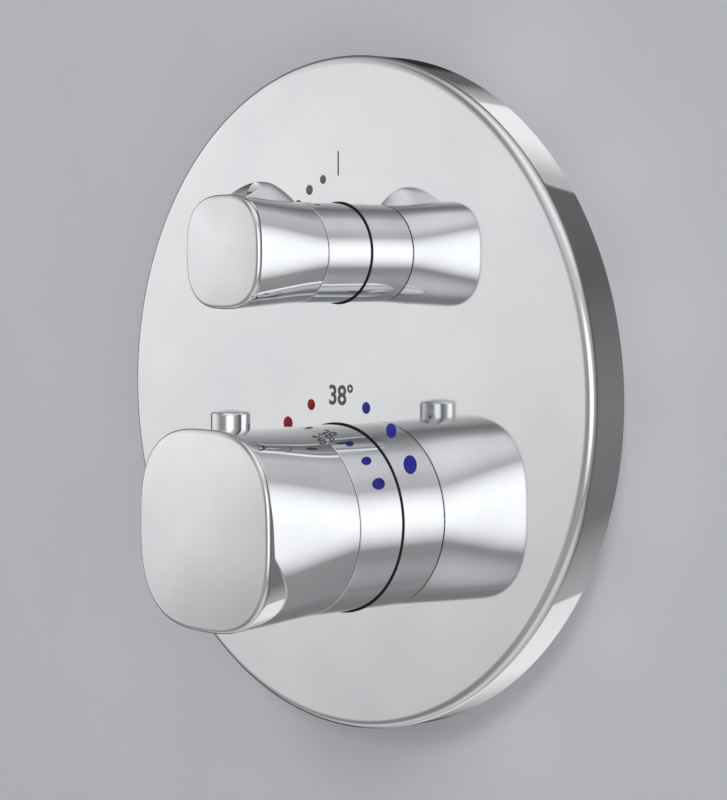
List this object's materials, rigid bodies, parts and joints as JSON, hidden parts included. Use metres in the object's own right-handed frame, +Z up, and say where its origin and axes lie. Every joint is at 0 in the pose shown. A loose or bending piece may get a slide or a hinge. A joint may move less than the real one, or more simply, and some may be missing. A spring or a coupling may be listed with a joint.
{
  "type": "thermostatic shower valve",
  "caption": "Concealed thermostatic shower valve: round chrome plate, flow handle with thumb fin, temperature handle with safety button, brass body with threaded inlets and outlet.",
  "frame": {"origin": "centre of the plate, on the plane of the finished wall", "axes": "+Z up, +X to the right of a person facing the valve, +Y into the wall; the handles point along -Y"},
  "size_m": [0.17, 0.123, 0.17],
  "materials": {
    "chrome_plate": "polished electroplate",
    "cast_brass": "as cast and turned",
    "stainless_steel": "plain",
    "copper": "turned copper",
    "alumina_ceramic": "lapped",
    "black_rubber": "matt",
    "black_plastic": "moulded",
    "white_plastic": "moulded"
  },
  "bodies": {
    "valve": {"escutcheon_plate": "chrome_plate", "plate_gasket": "black_rubber", "plate_carrier": "black_plastic", "carrier_screws": "stainless_steel", "flow_sleeve": "chrome_plate", "temp_sleeve": "chrome_plate", "flow_seal": "black_rubber", "temp_seal": "black_rubber", "stop_ring": "white_plastic", "valve_body": "cast_brass", "headwork_housing": "cast_brass", "headwork_oring": "black_rubber", "headwork_seal": "black_rubber", "fixed_disc": "alumina_ceramic", "flow_spindle_oring": "black_rubber", "cartridge_housing": "black_plastic", "cartridge_nut": "cast_brass", "cartridge_orings": "black_rubber", "spring_retainer": "cast_brass", "return_spring": "stainless_steel", "hot_check_housing": "white_plastic", "hot_check_spring": "stainless_steel", "hot_strainer": "stainless_steel", "cold_check_housing": "white_plastic", "cold_check_spring": "stainless_steel", "cold_strainer": "stainless_steel"},
    "flow_control": {"flow_handle": "chrome_plate", "flow_insert": "white_plastic", "flow_grub_screw": "stainless_steel", "moving_disc": "alumina_ceramic", "flow_spindle": "cast_brass", "flow_spindle_clip": "stainless_steel"},
    "temperature_control": {"temp_handle": "chrome_plate", "temp_insert": "white_plastic", "temp_grub_screw": "stainless_steel", "temp_spindle": "cast_brass", "temp_spindle_clip": "stainless_steel", "button_spring": "stainless_steel"},
    "button": {"safety_button": "chrome_plate", "stop_pawl": "stainless_steel"},
    "regulator": {"regulating_nut": "cast_brass", "overtravel_cup": "stainless_steel", "overtravel_spring": "stainless_steel", "overtravel_clip": "stainless_steel"},
    "thermostat": {"shuttle": "stainless_steel", "wax_element": "copper"},
    "hot_poppet": {"hot_check_poppet": "black_plastic"},
    "cold_poppet": {"cold_check_poppet": "black_plastic"}
  },
  "joints": [
    {"name": "flow_turn", "type": "hinge", "parent": "valve", "child": "flow_control", "pos_m": [0, 0, 0.0355], "axis": [0, -1, 0], "range_deg": [0, 90]},
    {"name": "temperature_turn", "type": "hinge", "parent": "valve", "child": "temperature_control", "pos_m": [0, 0, -0.0315], "axis": [0, -1, 0], "range_deg": [-80, 65]},
    {"name": "button_press", "type": "slide", "parent": "temperature_control", "child": "button", "axis": [0, 0, -1], "range_m": [0, 0.0024], "stiffness_N_per_m": 300, "springref_m": -0.002, "deforming": ["button_spring"]},
    {"name": "nut_travel", "type": "slide", "parent": "valve", "child": "regulator", "axis": [0, -1, 0], "range_m": [-0.00134, 0.00109]},
    {"name": "shuttle_travel", "type": "slide", "parent": "valve", "child": "thermostat", "axis": [0, -1, 0], "range_m": [-0.00134, 0.00109], "deforming": ["return_spring"]},
    {"name": "hot_check", "type": "slide", "parent": "valve", "child": "hot_poppet", "axis": [1, 0, 0], "range_m": [0, 0.0024], "stiffness_N_per_m": 60, "springref_m": -0.002, "deforming": ["hot_check_spring"]},
    {"name": "cold_check", "type": "slide", "parent": "valve", "child": "cold_poppet", "axis": [-1, 0, 0], "range_m": [0, 0.0024], "stiffness_N_per_m": 60, "springref_m": -0.002, "deforming": ["cold_check_spring"]}
  ],
  "couplings": [
    {"joint": "nut_travel", "follows": "temperature_turn", "m_per_rad": 0.00095493},
    {"joint": "shuttle_travel", "follows": "temperature_turn", "m_per_rad": 0.00095493}
  ]
}
